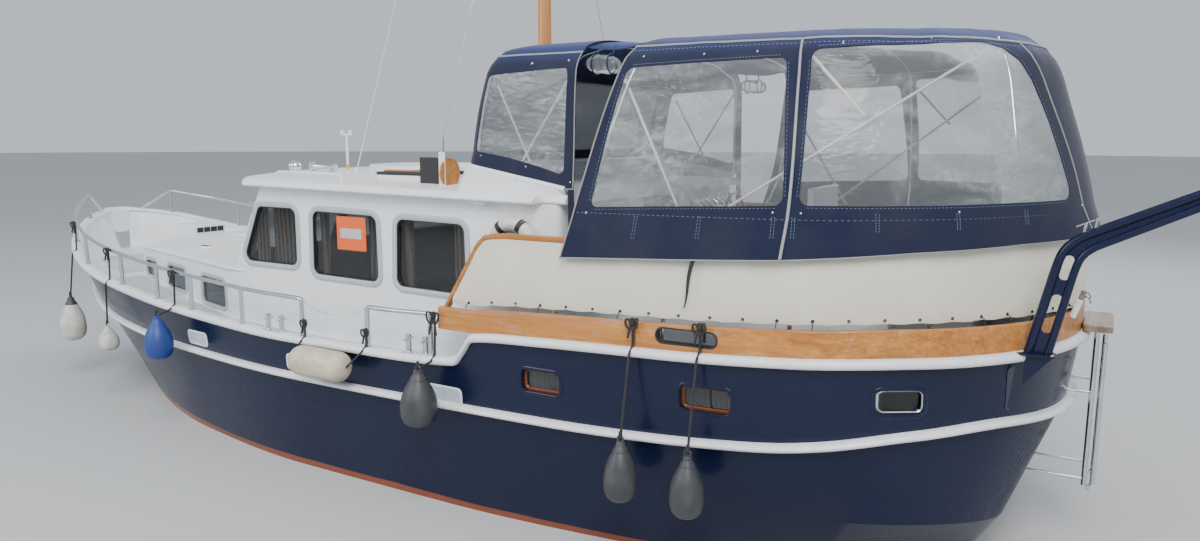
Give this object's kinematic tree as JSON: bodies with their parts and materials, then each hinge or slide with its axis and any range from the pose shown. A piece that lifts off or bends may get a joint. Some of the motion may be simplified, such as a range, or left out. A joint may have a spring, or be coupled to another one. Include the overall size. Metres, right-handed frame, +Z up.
{
  "type": "motor yacht",
  "caption": "Steel displacement motor cruiser with a raised aft deck under a canvas canopy, a stern davit, guard rails, a folding mast, rudder and propeller.",
  "frame": {"origin": "amidships, on the centreline, at the waterline", "axes": "+X towards the bow, +Y to port, +Z up"},
  "size_m": [12.0576, 4.166, 7.55],
  "materials": {
    "navy_paint": "gloss",
    "white_paint": "satin gloss",
    "cream_canvas": "coated canvas",
    "navy_canvas": "coated canvas with clear windows",
    "varnished_wood": "varnished",
    "stainless": "polished",
    "dark_steel": "matt",
    "bronze": "worn",
    "blue_cushion": "woven",
    "white_plastic": "satin",
    "blue_rubber": "satin",
    "grey_rubber": "satin",
    "engine_grey": "painted",
    "window_glass": "tinted"
  },
  "bodies": {
    "boat": {"hull": "navy_paint", "davit_port": "navy_paint", "sheer_strake": "white_paint", "rub_rail": "white_paint", "fore_cabin": "white_paint", "saloon": "white_paint", "roof": "white_paint", "roof_coaming": "white_paint", "flybridge_coaming": "white_paint", "helm_bench": "white_paint", "aft_bench": "white_paint", "wood_plank": "varnished_wood", "saloon_sole": "varnished_wood", "helm_console": "varnished_wood", "aft_rail": "varnished_wood", "stern_step": "varnished_wood", "nav_board_port": "dark_steel", "nav_board_starboard": "dark_steel", "engine": "engine_grey", "pane_port_fore": "window_glass", "pane_port_mid": "window_glass", "pane_port_aft": "window_glass", "pane_starboard_fore": "window_glass", "pane_starboard_mid": "window_glass", "pane_starboard_aft": "window_glass", "screen_port": "window_glass", "screen_centre": "window_glass", "screen_starboard": "window_glass", "searchlight": "stainless", "canopy_bows": "stainless", "guard_rail_port": "stainless", "guard_rail_starboard": "stainless", "stern_ladder": "stainless", "bollard_fore_port": "stainless", "bollard_fore_starboard": "stainless", "bollard_mid_port": "stainless", "bollard_mid_starboard": "stainless", "helm_cushion": "blue_cushion", "aft_cushion": "blue_cushion", "dodger": "cream_canvas", "canopy_main": "navy_canvas", "canopy_front": "navy_canvas", "canopy_flap": "navy_canvas", "life_ring": "white_plastic", "fender_bow": "white_plastic", "fender_white": "white_plastic", "fender_cream": "white_plastic", "fender_blue": "blue_rubber", "fender_grey": "grey_rubber", "fender_aft": "grey_rubber", "fender_stern": "grey_rubber"},
    "propeller": {"propeller": "bronze"},
    "rudder": {"rudder": "dark_steel"},
    "steering_wheel": {"steering_wheel": "varnished_wood"},
    "companion_door": {"companion_door": "varnished_wood"},
    "fore_hatch": {"fore_hatch": "white_paint"},
    "roof_hatch": {"roof_hatch": "dark_steel"},
    "mast": {"mast": "varnished_wood"},
    "ladder_extension": {"ladder_extension": "stainless"}
  },
  "joints": [
    {"name": "propeller_turn", "type": "hinge", "parent": "boat", "child": "propeller", "pos_m": [-4.17, 0, -0.65], "axis": [1, 0, 0], "continuous": true},
    {"name": "rudder_turn", "type": "hinge", "parent": "boat", "child": "rudder", "pos_m": [-4.56, 0, -0.66], "axis": [0, 0, 1], "range_deg": [-35, 35]},
    {"name": "steering_wheel_turn", "type": "hinge", "parent": "boat", "child": "steering_wheel", "pos_m": [-2.735, -0.785, 1.99], "axis": [1, 0, 0], "range_deg": [-720, 720]},
    {"name": "companion_door_swing", "type": "hinge", "parent": "boat", "child": "companion_door", "pos_m": [-2.4083, 0.33, 1.8], "axis": [0, 0, 1], "range_deg": [-90, 0]},
    {"name": "fore_hatch_lift", "type": "hinge", "parent": "boat", "child": "fore_hatch", "pos_m": [2.8, 0, 1.5953], "axis": [0, 1, 0], "range_deg": [0, 90]},
    {"name": "roof_hatch_lift", "type": "hinge", "parent": "boat", "child": "roof_hatch", "pos_m": [-0.68, 0.69, 2.3935], "axis": [1, 0, 0], "range_deg": [0, 90]},
    {"name": "mast_fold", "type": "hinge", "parent": "boat", "child": "mast", "pos_m": [-1.24, 0, 2.56], "axis": [0, 1, 0], "range_deg": [0, 80]},
    {"name": "ladder_extension_fold", "type": "hinge", "parent": "boat", "child": "ladder_extension", "pos_m": [-5.63, 0, 0.43], "axis": [0, 1, 0], "range_deg": [-180, 0]}
  ],
  "couplings": [
    {"joint": "rudder_turn", "follows": "steering_wheel_turn", "ratio": 0.048611}
  ]
}
